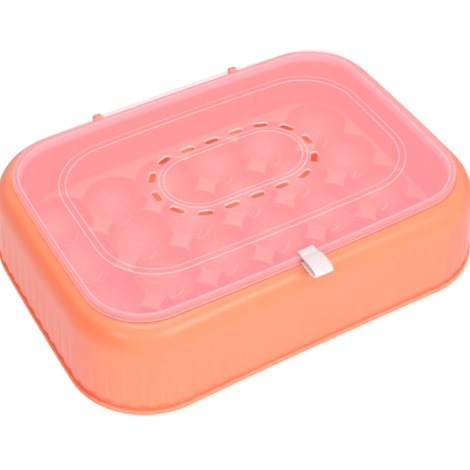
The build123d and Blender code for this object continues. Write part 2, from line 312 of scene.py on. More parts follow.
for side in (-1, 1):
    ear = rod("ear", EAR_RADIUS, EAR_WIDTH / 2, side * EAR_X, HINGE_Y, HINGE_Z, round_edge=EAR_EDGE)
    combine(housing, ear, "UNION")
    hole = rod("hole", TRUNNION_RADIUS + TRUNNION_GAP, EAR_WIDTH, side * EAR_X, HINGE_Y, HINGE_Z, sides=32)
    combine(housing, hole, "DIFFERENCE")
print("housing faces with the hinge", len(housing.data.polygons))

# %% [markdown]
# ## Where the reeds' valleys run
# The painted highlight lines in the valleys and the painted shade at the reeds' feet need to know how near a spot
# is to a valley between two reeds. Booleans lose that, so each vertex takes the share of the nearest point of the
# section it was made from, and keeps it as an attribute.
# %% Valley attribute
reed_spots = kdtree.KDTree(sum(len(level) for level in section))
reed_shares = []
for level in section:
    for spot, share in zip(level, valley_share() * reed_strength(level[:, :2])):
        reed_spots.insert(Vector(spot) * MM, len(reed_shares))
        reed_shares.append(share)
reed_spots.balance()
valley = housing.data.attributes.new("valley", "FLOAT", "POINT")
for vertex in housing.data.vertices:
    valley.data[vertex.index].value = reed_shares[reed_spots.find(vertex.co)[1]]
print("valley shares on", len(valley.data), "vertices")

# %% [markdown]
# ## The egg tray
# The tray is a deep liner with 6 by 4 cups sunk into its floor. Neighbouring cups run into each other, so
# that only star-shaped posts stand between them, and the outer cups are cut short by the tray's wall. Each
# cup is made on a polar grid that stops at the ridge to its neighbour, at the rim of its post, or at the
# wall, whichever comes first, so that every crease lies on mesh edges.
# %% Sizes of the cups
COLUMNS, ROWS, PITCH_X, PITCH_Y = 6, 4, 44.8, 42.7
TRAY_TOP, TRAY_PLATE, TRAY_WALL, TRAY_DRAFT = 25.8, 1.8, 1.5, 1.0
CUP_MOUTH, CUP_SEAT, CUP_FLOOR, CUP_WALL, SEAT_DROP = 24.2, 7.0, 4.4, 1.5, 0.5
RIDGE_SOFTNESS, TRAY_SIDE_GAP, LIP_GAP = 1.2, 0.4, 0.25
TRAY_INSET = OPENING_INSET + TRAY_SIDE_GAP
LIP_TOP = LID_TOP - LID_WALL - LIP_GAP
BOWL_CENTRE = (CUP_MOUTH**2 + TRAY_TOP**2 - CUP_SEAT**2 - CUP_FLOOR**2) / (2 * (TRAY_TOP - CUP_FLOOR))
BOWL_RADIUS = math.hypot(CUP_MOUTH, BOWL_CENTRE - TRAY_TOP)
print("bowl radius", round(BOWL_RADIUS, 1), "mm, its centre at a height of", round(BOWL_CENTRE, 1), "mm")

# %% [markdown]
# The spokes of a cup's polar grid are even, with extra ones where a ridge meets the bowl's rim, the wall or
# another ridge. On each spoke the bowl is followed from the seat outwards. Near a neighbour the height eases
# into the neighbour's bowl, so that the ridge between two cups is soft.
# %% One cup
def crossings(points, axis, value):
    """Where a closed outline crosses the line on which the given coordinate has this value."""
    found = []
    for p, q in zip(points, np.roll(points, -1, axis=0)):
        if (p[axis] - value) * (q[axis] - value) < 0:
            found.append(p + (q - p) * (value - p[axis]) / (q[axis] - p[axis]))
    return found


def cup_grid(column, row, edge, radius, floor, top, soft, drop, steps=14, turns=96):
    """Rings of points for one cup, from its centre out to its ridges, its post or the wall."""
    centre = np.array([(column - (COLUMNS - 1) / 2) * PITCH_X, (row - (ROWS - 1) / 2) * PITCH_Y])
    mouth = math.sqrt(radius**2 - (BOWL_CENTRE - top) ** 2)
    neighbours = ((0, 1, column < COLUMNS - 1), (0, -1, column), (1, 1, row < ROWS - 1), (1, -1, row))
    sides = [(axis, sign, (PITCH_X, PITCH_Y)[axis] / 2) for axis, sign, there in neighbours if there]
    spokes = edge - centre
    bearing = np.arctan2(spokes[:, 1], spokes[:, 0])
    order = np.argsort(bearing)
    bearing, reach = bearing[order], np.linalg.norm(spokes, axis=1)[order]
    bearing = np.concatenate([bearing[-1:] - 2 * math.pi, bearing, bearing[:1] + 2 * math.pi])
    reach = np.concatenate([reach[-1:], reach, reach[:1]])
    turn = list(np.linspace(-math.pi, math.pi, turns, endpoint=False))
    for axis, sign, half in sides:
        base = (0 if sign > 0 else math.pi) if axis == 0 else sign * math.pi / 2
        turn += [base + s * math.acos(half / mouth) for s in (-1, 1)]
        for p in crossings(edge, axis, centre[axis] + sign * half) - centre:
            if all(other == axis or s * p[other] <= reach_to for other, s, reach_to in sides):
                turn.append(math.atan2(p[1], p[0]))
        for other_axis, other_sign, other_half in sides:
            if axis == 0 and other_axis == 1:
                turn.append(math.atan2(other_sign * other_half, sign * half))
    turn = np.unique(np.round((np.array(turn) + math.pi) % (2 * math.pi) - math.pi, 7))
    away = np.stack([np.cos(turn), np.sin(turn)], 1)
    to_wall = np.interp(turn, bearing, reach)
    limit = to_wall.copy()
    for axis, sign, half in sides:
        along = away[:, axis] * sign
        limit = np.minimum(limit, np.where(along > 1e-6, half / np.maximum(along, 1e-6), 1e9))
    at_wall = limit >= to_wall - 1e-6
    rounding = np.clip((limit - mouth) / 2, 0, soft)
    last = np.where(limit > mouth, np.sqrt(radius**2 - (BOWL_CENTRE - top + rounding) ** 2), limit)
    seat = math.sqrt(radius**2 - (BOWL_CENTRE - floor) ** 2)
    start, stop = math.asin(seat / radius), np.arcsin(np.minimum(last / radius, 1))
    low = floor - drop
    flat = np.ones(len(turn))
    rings = [(seat * f * flat, low * flat) for f in (0.0, 0.80, 0.90)]
    rings.append((seat * 0.96 * flat, (low + drop * 0.35) * flat))
    for f in np.linspace(0, 1, steps):
        out = radius * np.sin(start + (stop - start) * f)
        rings.append((out, BOWL_CENTRE - np.sqrt(radius**2 - out**2)))
    bowl_rings = len(rings)
    post = limit > mouth
    end_height = np.where(post | at_wall, top, rings[-1][1])
    for out, fall in ((0.3, 0.3), (1.0, 0.0)):
        height = np.where(post, top - rounding * fall, rings[-1][1])
        rings.append((np.where(post, mouth + rounding * out, limit), height))
    rings.append((limit, end_height))
    layers = []
    for level, (out, height) in enumerate(rings):
        place = away * out[:, None]
        if level < bowl_rings + 2:
            for axis, sign, half in sides:
                other = place.copy()
                other[:, axis] -= sign * 2 * half
                beyond = np.linalg.norm(other, axis=1)
                inside = beyond < radius
                twin = BOWL_CENTRE - np.sqrt(np.maximum(radius**2 - beyond**2, 0))
                ease = np.clip((top - height) / 3, 0, 1) * RIDGE_SOFTNESS + 1e-9
                share = np.clip(0.5 + (twin - height) / (2 * ease), 0, 1)
                softer = twin + (height - twin) * share - ease * share * (1 - share)
                height = np.where(inside & (out < mouth), softer, height)
            if level == bowl_rings + 1:
                end_low = height
        if level == bowl_rings + 2:
            height = np.where(post | at_wall, top, end_low)
        layers.append(np.column_stack([centre + place, height]))
    return layers


print("cups", COLUMNS * ROWS)

# %% [markdown]
# All cups together are one sheet. It is welded, and walls are raised from its free edge, ring after ring. The
# tray's inside and its underside are both made like that, with bowls of different size.
# %% A sheet of cups with walls
def cup_floor_mesh(edge, radius, floor, top, soft, drop):
    """All cups of the tray as one sheet that ends at the given edge."""
    vertices, faces = [], []
    for column in range(COLUMNS):
        for row in range(ROWS):
            layers = cup_grid(column, row, edge, radius, floor, top, soft, drop)
            count, base = len(layers[0]), sum(len(v) for v in vertices)
            vertices += layers
            for level in range(len(layers) - 1):
                for i in range(count):
                    a, b = base + level * count + i, base + level * count + (i + 1) % count
                    faces.append((a, b, b + count, a + count))
    return np.concatenate(vertices), faces


def loop_of(work):
    """The sheet's free edge as points in order, counter-clockwise from the middle of the front."""
    rim = {v for e in work.edges if e.is_boundary for v in e.verts}
    return sorted(rim, key=lambda v: math.atan2(v.co.x, -v.co.y) % (2 * math.pi))


def tray_side(name, sheet_edge, radius, floor, top, soft, drop, steps):
    """A sheet of cups with walls raised from its edge through (outward shift, height) steps."""
    vertices, faces = cup_floor_mesh(sheet_edge[0], radius, floor, top, soft, drop)
    work = bmesh.new()
    for v in vertices:
        work.verts.new(v)
    work.verts.ensure_lookup_table()
    for face in faces:
        if len(set(face)) == 4:
            work.faces.new([work.verts[i] for i in face])
    bmesh.ops.remove_doubles(work, verts=work.verts, dist=0.004)
    bmesh.ops.dissolve_degenerate(work, edges=work.edges, dist=0.002)
    rim = loop_of(work)
    points = np.array([v.co for v in rim])
    around = np.arctan2(points[:, 0], -points[:, 1]) % (2 * math.pi)
    known = np.arctan2(sheet_edge[0][:, 0], -sheet_edge[0][:, 1]) % (2 * math.pi)
    order = np.argsort(known)
    known, edge_normal = known[order], sheet_edge[1][order]
    normal = np.stack([np.interp(around, known, edge_normal[:, i], period=2 * math.pi) for i in (0, 1)], 1)
    previous = rim
    for shift, height in steps:
        moved = points[:, :2] + normal * shift
        level = [work.verts.new((*p, height)) for p in moved]
        for i in range(len(level)):
            j = (i + 1) % len(level)
            work.faces.new([previous[i], previous[j], level[j], level[i]])
        previous = level
    print(name, "faces", len(work.faces), "rim points", len(rim))
    return work


print("sheet of cups: welded, then raised at its edge")

# %% [markdown]
# The inside has the round seats, and the underside follows it one wall thickness further out, with a flange
# that hangs on the housing's rim. Their upper edges are bridged to make the lip. The walls get a material
# number of their own, because painted light makes them paler towards the lip.
# %% Egg tray
inner_edge = outline(**RIM, inset=TRAY_INSET + TRAY_WALL + TRAY_DRAFT, count=2400)
outer_edge = outline(**RIM, inset=TRAY_INSET + TRAY_DRAFT, count=2400)
FLANGE_OUT, FLANGE_TOP = TRAY_DRAFT + TRAY_INSET - (LID_WALL + LID_GAP), SHOULDER_TOP + 1.2
inner = tray_side(
    "cups", inner_edge, BOWL_RADIUS, CUP_FLOOR, TRAY_TOP, 0.7, SEAT_DROP,
    [(0.1, TRAY_TOP + 0.5), (0.4, TRAY_TOP + 12), (0.97, LIP_TOP - 0.5), (1.15, LIP_TOP - 0.12), (1.4, LIP_TOP)],
)
outer = tray_side(
    "underside", outer_edge, BOWL_RADIUS + CUP_WALL, CUP_FLOOR - CUP_WALL, TRAY_TOP - TRAY_PLATE, 0.3, 0.0,
    [(0.3, TRAY_TOP + 12), (0.93, SHOULDER_TOP), (FLANGE_OUT, SHOULDER_TOP), (FLANGE_OUT, FLANGE_TOP),
     (1.0, FLANGE_TOP), (1.0, LIP_TOP - 0.4), (0.7, LIP_TOP)],
)
for face in inner.faces:
    face.material_index = int(face.calc_center_median().z > TRAY_TOP + 1)
both = bmesh.new()
for work, flip in ((inner, False), (outer, True)):
    part = bpy.data.meshes.new("part")
    if flip:
        bmesh.ops.reverse_faces(work, faces=work.faces)
    work.to_mesh(part)
    both.from_mesh(part)
    work.free()
    bpy.data.meshes.remove(part)
lips = [e for e in both.edges if e.is_boundary]
bmesh.ops.bridge_loops(both, edges=lips)
bmesh.ops.recalc_face_normals(both, faces=both.faces)
bmesh.ops.scale(both, vec=(MM, MM, MM), verts=both.verts)
tray_mesh = bpy.data.meshes.new("tray")
both.to_mesh(tray_mesh)
both.free()
smooth(tray_mesh, 35)
tray = put("tray", tray_mesh)
print("tray faces", len(tray_mesh.polygons))

# %% [markdown]
# ## The lid
# The lid is a thin pan with a rounded edge. Two raised beads, a large ring and an oval, stiffen it and sixteen
# vents sit round the oval. Its section is laid as rings from the middle of the top, out over both beads and
# round the edge, and back underneath. The edge and the flanks of the beads are thicker or steeper, so more
# milky, and thin pale lines along the beads' tops and the edge are painted highlights. Each band of the section
# gets the number of its material.
# %% Lid sheet
# The two line materials are painted highlights along the beads' tops and the lid's edge.
SHEET, MILKY, PAINTED_HIGHLIGHT, PAINTED_EDGE_HIGHLIGHT, VENT = range(5)
LID_MATERIALS = ("milky_sheet", "milky_edge", "bead_highlight", "edge_highlight", "vent_wall")
LID_POINTS = 480


def take_lid_materials(piece):
    """Gives a mesh the lid's five material slots, so that booleans keep each face's number."""
    for name in LID_MATERIALS:
        piece.data.materials.append(bpy.data.materials.get(name) or bpy.data.materials.new(name))


def stadium(length, width, count=LID_POINTS):
    """Evenly spaced points of a slot shape, counter-clockwise from the middle of the front."""
    r, straight = width / 2, (length - width) / 2
    turn = np.linspace(-math.pi / 2, math.pi / 2, 200)
    right = np.column_stack([straight + r * np.cos(turn), r * np.sin(turn)])
    loop = np.concatenate([[(0, -r)], right, -right, [(0, -r)]])
    return evenly(loop, loop, count)


def lid_rim(inset, height):
    """A ring that follows the lid's edge."""
    return ring(outline(**RIM, inset=inset, count=LID_POINTS)[0], height)


def bead_rim(inset, height):
    """A ring that follows the large stacking bead."""
    return ring(outline(**RING, inset=inset, count=LID_POINTS)[0], height)


def oval_rim(inset, height):
    """A ring that follows the oval bead."""
    return ring(stadium(OVAL_LENGTH - 2 * inset, OVAL_WIDTH - 2 * inset) + (0, OVAL_Y), height)


def bead(rim, width):
    """Rings over a raised bead, from its inner flank to its outer one, and their material numbers."""
    top = LID_TOP + BEAD_HEIGHT
    flank = [(-1.1, LID_TOP), (-0.4, LID_TOP), (0.0, LID_TOP + 0.2), (0.35, top - 0.1), (1.1, top)]
    laid = [(width - inset, height) for inset, height in flank] + flank[::-1]
    # The top edge of each flank carries a painted highlight line.
    half = [SHEET, SHEET, MILKY, PAINTED_HIGHLIGHT]
    return [rim(inset, height) for inset, height in laid], half + [SHEET] + half[::-1] + [SHEET]


rings, marks = [], []
for share in (0.02, 0.35, 0.7):
    reach = OVAL_BEAD + (OVAL_WIDTH / 2 - OVAL_BEAD) * (1 - share)
    rings.append(oval_rim(min(reach, OVAL_WIDTH / 2 - 0.2), LID_TOP))
    marks.append(SHEET)
for made, numbers in (bead(oval_rim, OVAL_BEAD), bead(bead_rim, RING_BEAD)):
    rings += made
    marks += numbers
rings.append(lid_rim(LID_EDGE + 2.5, LID_TOP))
for a in quarter(8)[::-1]:
    rings.append(lid_rim(LID_EDGE * (1 - math.cos(a)), LID_TOP - LID_EDGE * (1 - math.sin(a))))
# The crease where the edge starts to round carries a painted highlight line.
marks += [SHEET] + [PAINTED_EDGE_HIGHLIGHT] + [MILKY] * 8
rings += [lid_rim(0, SKIRT_FOOT + 1.0), lid_rim(0, SKIRT_FOOT + 0.3), lid_rim(0.3, SKIRT_FOOT)]
rings += [lid_rim(LID_WALL - 0.3, SKIRT_FOOT), lid_rim(LID_WALL, SKIRT_FOOT + 0.3)]
# The skirt's foot carries painted highlight lines.
marks += [PAINTED_HIGHLIGHT, PAINTED_EDGE_HIGHLIGHT, MILKY, MILKY, MILKY]
inner_round = LID_EDGE - LID_WALL
for a in quarter(5):
    inset = LID_WALL + inner_round * (1 - math.cos(a))
    rings.append(lid_rim(inset, LID_TOP - LID_WALL - inner_round * (1 - math.sin(a))))
rings.append(oval_rim(OVAL_WIDTH / 2 - 0.4, LID_TOP - LID_WALL))
marks += [MILKY] * 5 + [SHEET, SHEET]
lid = skin("lid_sheet", rings, closed=False, material_of=marks, sharp=30)
take_lid_materials(lid)
print("lid faces", len(lid.data.polygons))

# %% [markdown]
# ## Vents
# A vent is a slot with round ends and a softened upper rim. One cutter holds all sixteen, laid at equal steps
# along an oval track, so that the lid is cut in a single step.
# %% Vents
TRACK_POINTS, VENT_POINTS = 1600, 40


def vent_places():
    """Middle and direction of each vent, the first one at the lid's +X end."""
    track = stadium(VENT_TRACK_LENGTH, VENT_TRACK_WIDTH, TRACK_POINTS)
    first = int(np.argmax(track[:, 0]))
    for number in range(VENTS):
        i = (first + number * TRACK_POINTS // VENTS) % TRACK_POINTS
        along = track[(i + 1) % TRACK_POINTS] - track[i - 1]
        yield track[i], math.atan2(along[1], along[0])


def vent_plugs(name, steps):
    """Sixteen slot-shaped plugs in one mesh, each laid through (growth, height) steps."""
    vertices, faces = [], []
    for place, angle in vent_places():
        spin = np.array([[math.cos(angle), math.sin(angle)], [-math.sin(angle), math.cos(angle)]])
        base = len(vertices)
        for grow, height in steps:
            shape = stadium(VENT_LENGTH + 2 * grow, VENT_WIDTH + 2 * grow, VENT_POINTS)
            vertices += [(*p, height) for p in shape @ spin + place + (0, OVAL_Y)]
        last = len(vertices) - VENT_POINTS
        for low in range(base, last, VENT_POINTS):
            high = low + VENT_POINTS
            for i in range(VENT_POINTS):
                j = (i + 1) % VENT_POINTS
                faces.append((low + i, low + j, high + j, high + i))
        faces += [tuple(range(base, base + VENT_POINTS))[::-1], tuple(range(last, len(vertices)))]
    plugs = store(name, vertices, faces, [VENT] * len(faces))
    take_lid_materials(plugs)
    return plugs


slots = [(0, LID_TOP - LID_WALL - 1), (0, LID_TOP - 0.45), (0.1, LID_TOP - 0.2)]
slots += [(0.3, LID_TOP), (0.3, LID_TOP + 1)]
combine(lid, vent_plugs("slots", slots), "DIFFERENCE", sharp=30)
print("lid faces with vents", len(lid.data.polygons))

# %% [markdown]
# ## Hinge leaf
# At the back the lid runs out into a sloping leaf that ends in a round barrel between the housing's ears. The
# barrel carries a short trunnion at each end, which turns in the ear. The leaf's profile is drawn from the
# side and pulled to its width, and the skirt gets room for the ears.
# %% Hinge leaf and trunnions
LEAF_REACH, LEAF_THICKNESS, EAR_GAP = 100.4, 1.8, 0.3
run, drop = HINGE_Y - LEAF_REACH, LID_TOP - HINGE_Z
slope = math.atan2(drop, run) - math.asin(BARREL_RADIUS / math.hypot(run, drop))
lean = np.array([math.sin(slope), math.cos(slope)])
axle = np.array([HINGE_Y, HINGE_Z])
top_line = axle + lean * BARREL_RADIUS
low_line = top_line - lean * LEAF_THICKNESS
root = low_line[0] - (LID_TOP - LID_WALL - low_line[1]) / math.tan(slope)
ease = [np.array([LEAF_REACH, LID_TOP]) + np.array(p) for p in ((-2.2, 0), (-1.0, -0.12), (0.1, -0.55))]
start = RIM["width"] / 2 - LID_EDGE - 1.0
swing = slope + np.radians(np.linspace(0, 250, 26))
turned = [axle + BARREL_RADIUS * np.array([math.sin(s), math.cos(s)]) for s in swing]
profile = [np.array([start, LID_TOP])] + ease + turned
profile += [np.array([root, LID_TOP - LID_WALL]), np.array([start, LID_TOP - LID_WALL])]
profile = np.array(profile)
half = HINGE_SPAN / 2 - EAR_GAP
leaf = skin("leaf", [np.column_stack([np.full(len(profile), x), profile]) for x in (-half, half)], closed=False)
combine(lid, leaf, "UNION", sharp=30)
for side in (-1, 1):
    room = rod("room", EAR_RADIUS + EAR_ROOM, EAR_WIDTH / 2 + EAR_GAP, side * EAR_X, HINGE_Y, HINGE_Z)
    combine(lid, room, "DIFFERENCE", sharp=30)
pin = rod("pin", TRUNNION_RADIUS, HINGE_SPAN / 2 + EAR_WIDTH - 0.2, y=HINGE_Y, z=HINGE_Z, round_edge=0.5)
combine(lid, pin, "UNION", sharp=30)
spots = np.array([v.co for v in lid.data.vertices]) / MM
print("lid box, mm:", spots.min(axis=0).round(1), spots.max(axis=0).round(1))

# %% [markdown]
# ## Pull loop
# A soft strap sits on the front edge of the lid. It rises from a short foot, bends round at the front and
# comes back under to the skirt, wider at the front than at the foot. The strap's middle line is walked from
# the side and a rounded rectangle is set across it at each step. The foot dips a little before it rises, and it
# has a material number of its own.
# %% Middle line of the strap
STRAP, STRAP_FRONT, STRAP_TOP, STRAP_BOTTOM = 1.4, 118.4, 79.0, 71.3
RISE = (STRAP_TOP - STRAP_BOTTOM - STRAP) / 2
ARCH = 8.6
FOOT_END, FOOT_FRONT, DIP_END, FOOT_LINE = (-94.4, 77.0), (-98.6, 76.9), (-101.8, 77.1), -99.4


def bezier(p, q, r, s, count):
    """Points along a Bezier curve from p to s, with handles q and r."""
    t = np.linspace(0, 1, count)[:, None]
    p, q, r, s = map(np.array, (p, q, r, s))
    return (1 - t) ** 3 * p + 3 * t * (1 - t) ** 2 * q + 3 * t * t * (1 - t) * r + t**3 * s


crest = ARCH + STRAP / 2 - STRAP_FRONT
low, high = STRAP_BOTTOM + STRAP / 2, STRAP_TOP - STRAP / 2
path = [bezier(FOOT_END, (-95.8, 77.0), (-97.2, 77.0), FOOT_FRONT, 5)[:-1]]
path.append(bezier(FOOT_FRONT, (-99.6, 76.6), (-100.8, 76.5), DIP_END, 7)[:-1])
path.append(bezier(DIP_END, (-103.2, 77.94), (crest + 3.0, high), (crest, high), 10)[:-1])
turn = np.linspace(math.pi / 2, 3 * math.pi / 2, 25)
path.append(np.column_stack([crest + ARCH * np.cos(turn), (low + high) / 2 + RISE * np.sin(turn)])[:-1])
path.append(np.column_stack([np.linspace(crest, -RIM["width"] / 2 - 0.1, 8), np.full(8, low)]))
path = np.concatenate(path)
direction = np.gradient(path, axis=0)
direction /= np.linalg.norm(direction, axis=1, keepdims=True)
across = np.column_stack([-direction[:, 1], direction[:, 0]])
print("strap path points", len(path))

# %% [markdown]
# The rounded rectangle across the strap has four corner arcs. It grows from the foot's width to the strap's.
# %% Pull loop
STRAP_WIDTH, FOOT_WIDTH, STRAP_EDGE, FULL_WIDTH_AT = 13.8, 12.4, 0.45, -104.0
widths = [STRAP_WIDTH, STRAP_WIDTH, FOOT_WIDTH, FOOT_WIDTH]
width_places = [-STRAP_FRONT, FULL_WIDTH_AT, FOOT_FRONT[0], FOOT_END[0]]
loops = []
for place, normal in zip(path, across):
    wide = np.interp(place[0], width_places, widths) / 2 - STRAP_EDGE
    thick = STRAP / 2 - STRAP_EDGE
    section = []
    for sx, sn, first in ((1, 1, 0), (-1, 1, 1), (-1, -1, 2), (1, -1, 3)):
        for a in quarter(4) + first * math.pi / 2:
            section.append((sx * wide + STRAP_EDGE * math.cos(a), sn * thick + STRAP_EDGE * math.sin(a)))
    aside, out = np.array(section).T
    loops.append(np.column_stack([aside, place[0] + normal[0] * out, place[1] + normal[1] * out]))
foot_marks = [int(place[0] > FOOT_LINE) for place in path]
loop = skin("pull_strap", loops, closed=False, material_of=foot_marks, sharp=50)
print("pull loop faces", len(loop.data.polygons))

# %% [markdown]
# ## Joining the pieces to the solids
# Each modelled piece stands in for one solid of the frame and moves with that solid's body: the housing and
# the tray stay, the lid and its strap turn together about the ears.
# %% Bodies
for piece, node, body, slot in (
    (housing, "body_shell", "base", "body_plastic"),
    (tray, "egg_tray", "base", "tray_plastic"),
    (lid, "lid", "lid", "lid_plastic"),
    (loop, "pull_loop", "lid", "loop_plastic"),
):
    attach(piece, body)
    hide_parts(node)
print("pieces ride on their bodies")

# %% [markdown]
# ## A shared surface for moulded plastic
# Moulded plastic is never quite even: the melt leaves soft flow clouds, the steel leaves a fine satin grain, and
# handling adds faint scuffs. All three come from one node group that puts out a cloud mask, a roughness and a
# height, so that each plastic only sets its own strengths.
# %% Moulded surface group
def new_group(name, inputs, outputs):
    """An empty shader group with float inputs (name, value) and named float outputs."""
    group = bpy.data.node_groups.new(name, "ShaderNodeTree")
    for label, value in inputs:
        socket = group.interface.new_socket(label, in_out="INPUT", socket_type="NodeSocketFloat")
        socket.default_value = value
    for label in outputs:
        group.interface.new_socket(label, in_out="OUTPUT", socket_type="NodeSocketFloat")
    return group, group.nodes.new("NodeGroupInput"), group.nodes.new("NodeGroupOutput")


def noise(tree, coordinate, scale, detail=4.0, roughness=0.5):
    """The value of a noise texture, laid over the given coordinate."""
    node = tree.nodes.new("ShaderNodeTexNoise")
    node.inputs["Scale"].default_value = scale
    node.inputs["Detail"].default_value = detail
    node.inputs["Roughness"].default_value = roughness
    tree.links.new(coordinate, node.inputs["Vector"])
    return node.outputs["Fac"]


def math_node(tree, operation, first, second=0.0, third=0.0, clamp=False):
    """One step of arithmetic on up to three values, each a link or a number."""
    node = tree.nodes.new("ShaderNodeMath")
    node.operation = operation
    node.use_clamp = clamp
    for socket, value in zip(node.inputs, (first, second, third)):
        if isinstance(value, (int, float)):
            socket.default_value = value
        else:
            tree.links.new(value, socket)
    return node.outputs[0]


def times(tree, first, second):
    """The product of two values."""
    return math_node(tree, "MULTIPLY", first, second)


def ramp(tree, value, low, high):
    """A smooth step from 0 at low to 1 at high."""
    node = tree.nodes.new("ShaderNodeMapRange")
    node.interpolation_type = "SMOOTHSTEP"
    node.inputs["From Min"].default_value = low
    node.inputs["From Max"].default_value = high
    tree.links.new(value, node.inputs["Value"])
    return node.outputs["Result"]


def blend(tree, factor, first, second):
    """A mix of two colours, each a link or three numbers."""
    node = tree.nodes.new("ShaderNodeMix")
    node.data_type = "RGBA"
    tree.links.new(factor, node.inputs["Factor"])
    for label, value in (("A", first), ("B", second)):
        if isinstance(value, tuple):
            node.inputs[label].default_value = (*value, 1)
        else:
            tree.links.new(value, node.inputs[label])
    return node.outputs["Result"]


print("node helpers ready")

# %% [markdown]
# The clouds are several centimetres across, the patches that change the roughness are finer, and the grain is
# about half a millimetre. The scuffs are a stretched noise of which only the highest parts are kept.
# %% Moulded surface
CLOUD_SCALE, PATCH_SCALE, GRAIN_SCALE, SCUFF_SCALE = 14.0, 55.0, 1600.0, 90.0
SCUFF_FROM, SCUFF_ROUGHNESS, CLOUD_DEPTH = 0.62, 2.5, 0.6
moulded, given, result = new_group(
    "moulded_surface",
    [("Roughness", 0.35), ("Roughness Change", 0.08), ("Grain Depth", 0.3), ("Scuffs", 0.1)],
    ["Clouds", "Roughness", "Height"],
)
place = moulded.nodes.new("ShaderNodeTexCoord").outputs["Object"]
clouds = noise(moulded, place, CLOUD_SCALE, 3.0)
patches = noise(moulded, place, PATCH_SCALE, 5.0)
grain = noise(moulded, place, GRAIN_SCALE, 2.0)
stretched = moulded.nodes.new("ShaderNodeMapping")
stretched.inputs["Scale"].default_value = (1.0, 9.0, 3.0)
stretched.inputs["Rotation"].default_value = (0.2, 0.4, 0.7)
moulded.links.new(place, stretched.inputs["Vector"])
scuff = noise(moulded, stretched.outputs["Vector"], SCUFF_SCALE, 6.0, 0.7)
scuff = math_node(moulded, "SUBTRACT", scuff, SCUFF_FROM, clamp=True)
scuff = times(moulded, scuff, given.outputs["Scuffs"])
spread = math_node(moulded, "SUBTRACT", patches, 0.5)
spread = times(moulded, spread, given.outputs["Roughness Change"])
rough = math_node(moulded, "ADD", given.outputs["Roughness"], spread)
rough = math_node(moulded, "MULTIPLY_ADD", scuff, SCUFF_ROUGHNESS, rough, clamp=True)
swell = times(moulded, clouds, CLOUD_DEPTH)
height = math_node(moulded, "MULTIPLY_ADD", grain, given.outputs["Grain Depth"], swell)
moulded.links.new(clouds, result.inputs["Clouds"])
moulded.links.new(rough, result.inputs["Roughness"])
moulded.links.new(height, result.inputs["Height"])
print("group outputs:", [s.name for s in moulded.interface.items_tree if s.in_out == "OUTPUT"])

# %% [markdown]
# ## One recipe for every plastic
# All plastics here are a Principled shader with the moulded surface on it. A colour that drifts between two
# close tones looks more like dyed plastic than a single one. Light that goes a little way in and comes back out
# warmer is subsurface scattering. Tones that follow the shape need the place on the object, so a helper gives
# the distance from the middle and the height in millimetres.
# %% Plastic recipe
BUMP_STRENGTH, BUMP_DISTANCE = 0.12, 0.0001


def plastic(name, colour, deep, roughness, **moulding):
    """A Principled material with moulded grain, and a base colour that drifts between two tones."""
    material = bpy.data.materials.get(name) or bpy.data.materials.new(name)
    material.use_nodes = True
    tree = material.node_tree
    shader = tree.nodes["Principled BSDF"]
    surface = tree.nodes.new("ShaderNodeGroup")
    surface.node_tree = moulded
    surface.inputs["Roughness"].default_value = roughness
    for label, value in moulding.items():
        surface.inputs[label.replace("_", " ")].default_value = value
    tones = blend(tree, surface.outputs["Clouds"], tuple(colour), tuple(deep))
    tree.links.new(tones, shader.inputs["Base Color"])
    tree.links.new(surface.outputs["Roughness"], shader.inputs["Roughness"])
    bump = tree.nodes.new("ShaderNodeBump")
    bump.inputs["Strength"].default_value = BUMP_STRENGTH
    bump.inputs["Distance"].default_value = BUMP_DISTANCE
    tree.links.new(surface.outputs["Height"], bump.inputs["Height"])
    tree.links.new(bump.outputs["Normal"], shader.inputs["Normal"])
    return material, tree, shader, tones


def scatter(shader, weight, radius, scale):
    """Lets light in below the surface, by weight, colour shares and distance in metres."""
    shader.inputs["Subsurface Weight"].default_value = weight
    shader.inputs["Subsurface Radius"].default_value = radius
    shader.inputs["Subsurface Scale"].default_value = scale


def object_axes(tree):
    """The object's own X, Y and Z at each spot, in metres."""
    place = tree.nodes.new("ShaderNodeTexCoord").outputs["Object"]
    split = tree.nodes.new("ShaderNodeSeparateXYZ")
    tree.links.new(place, split.inputs["Vector"])
    return split.outputs


def place_of(tree):
    """Distance from the middle along X and height above the floor, in millimetres."""
    axes = object_axes(tree)
    aside = math_node(tree, "ABSOLUTE", axes["X"])
    return times(tree, aside, 1 / MM), times(tree, axes["Z"], 1 / MM)


def inverse(tree, value):
    """1 where the value is 0, and 0 where it is 1."""
    return math_node(tree, "SUBTRACT", 1.0, value)


def band(tree, value, start, full, fall, end):
    """Rises from 0 at start to 1 at full, stays there, and falls again from fall to end."""
    return math_node(tree, "SUBTRACT", ramp(tree, value, start, full), ramp(tree, value, fall, end))


DYED_SCATTER = (1.0, 0.45, 0.3)
print("plastic recipe ready")

# %% [markdown]
# ## The housing's colour
# The housing is dyed polypropylene. Its shoulder is deeper in tone than its wall. Painted shade makes it deeper
# still near the two ends, and makes wall and shoulder darker where the surface turns away from the eye, which a
# Layer Weight node tells. Painted highlight lines run along the valleys between the reeds in the lower half. Each
# tone is blended over the one before, by a mask from the place.
# %% Wall and shoulder tones
WALL_TONE, WALL_DEEP, WALL_ASIDE_SHADE = (0.99, 0.315, 0.175), (0.97, 0.285, 0.15), (0.97, 0.20, 0.13)
SHOULDER_TONE, SHOULDER_END_SHADE = (0.975, 0.275, 0.135), (0.935, 0.185, 0.062)
AWAY_SHADE_TONE, VALLEY_HIGHLIGHT_TONE = (0.80, 0.12, 0.045), (1.0, 0.50, 0.36)
body_plastic, tree, shader, tones = plastic(
    "orange_housing", WALL_TONE, WALL_DEEP, 0.34, Grain_Depth=0.4, Scuffs=0.3
)
scatter(shader, 0.35, DYED_SCATTER, 0.006)
from_middle, level = place_of(tree)
sideways = tree.nodes.new("ShaderNodeLayerWeight")
sideways.inputs["Blend"].default_value = 0.5
sideways = sideways.outputs["Facing"]
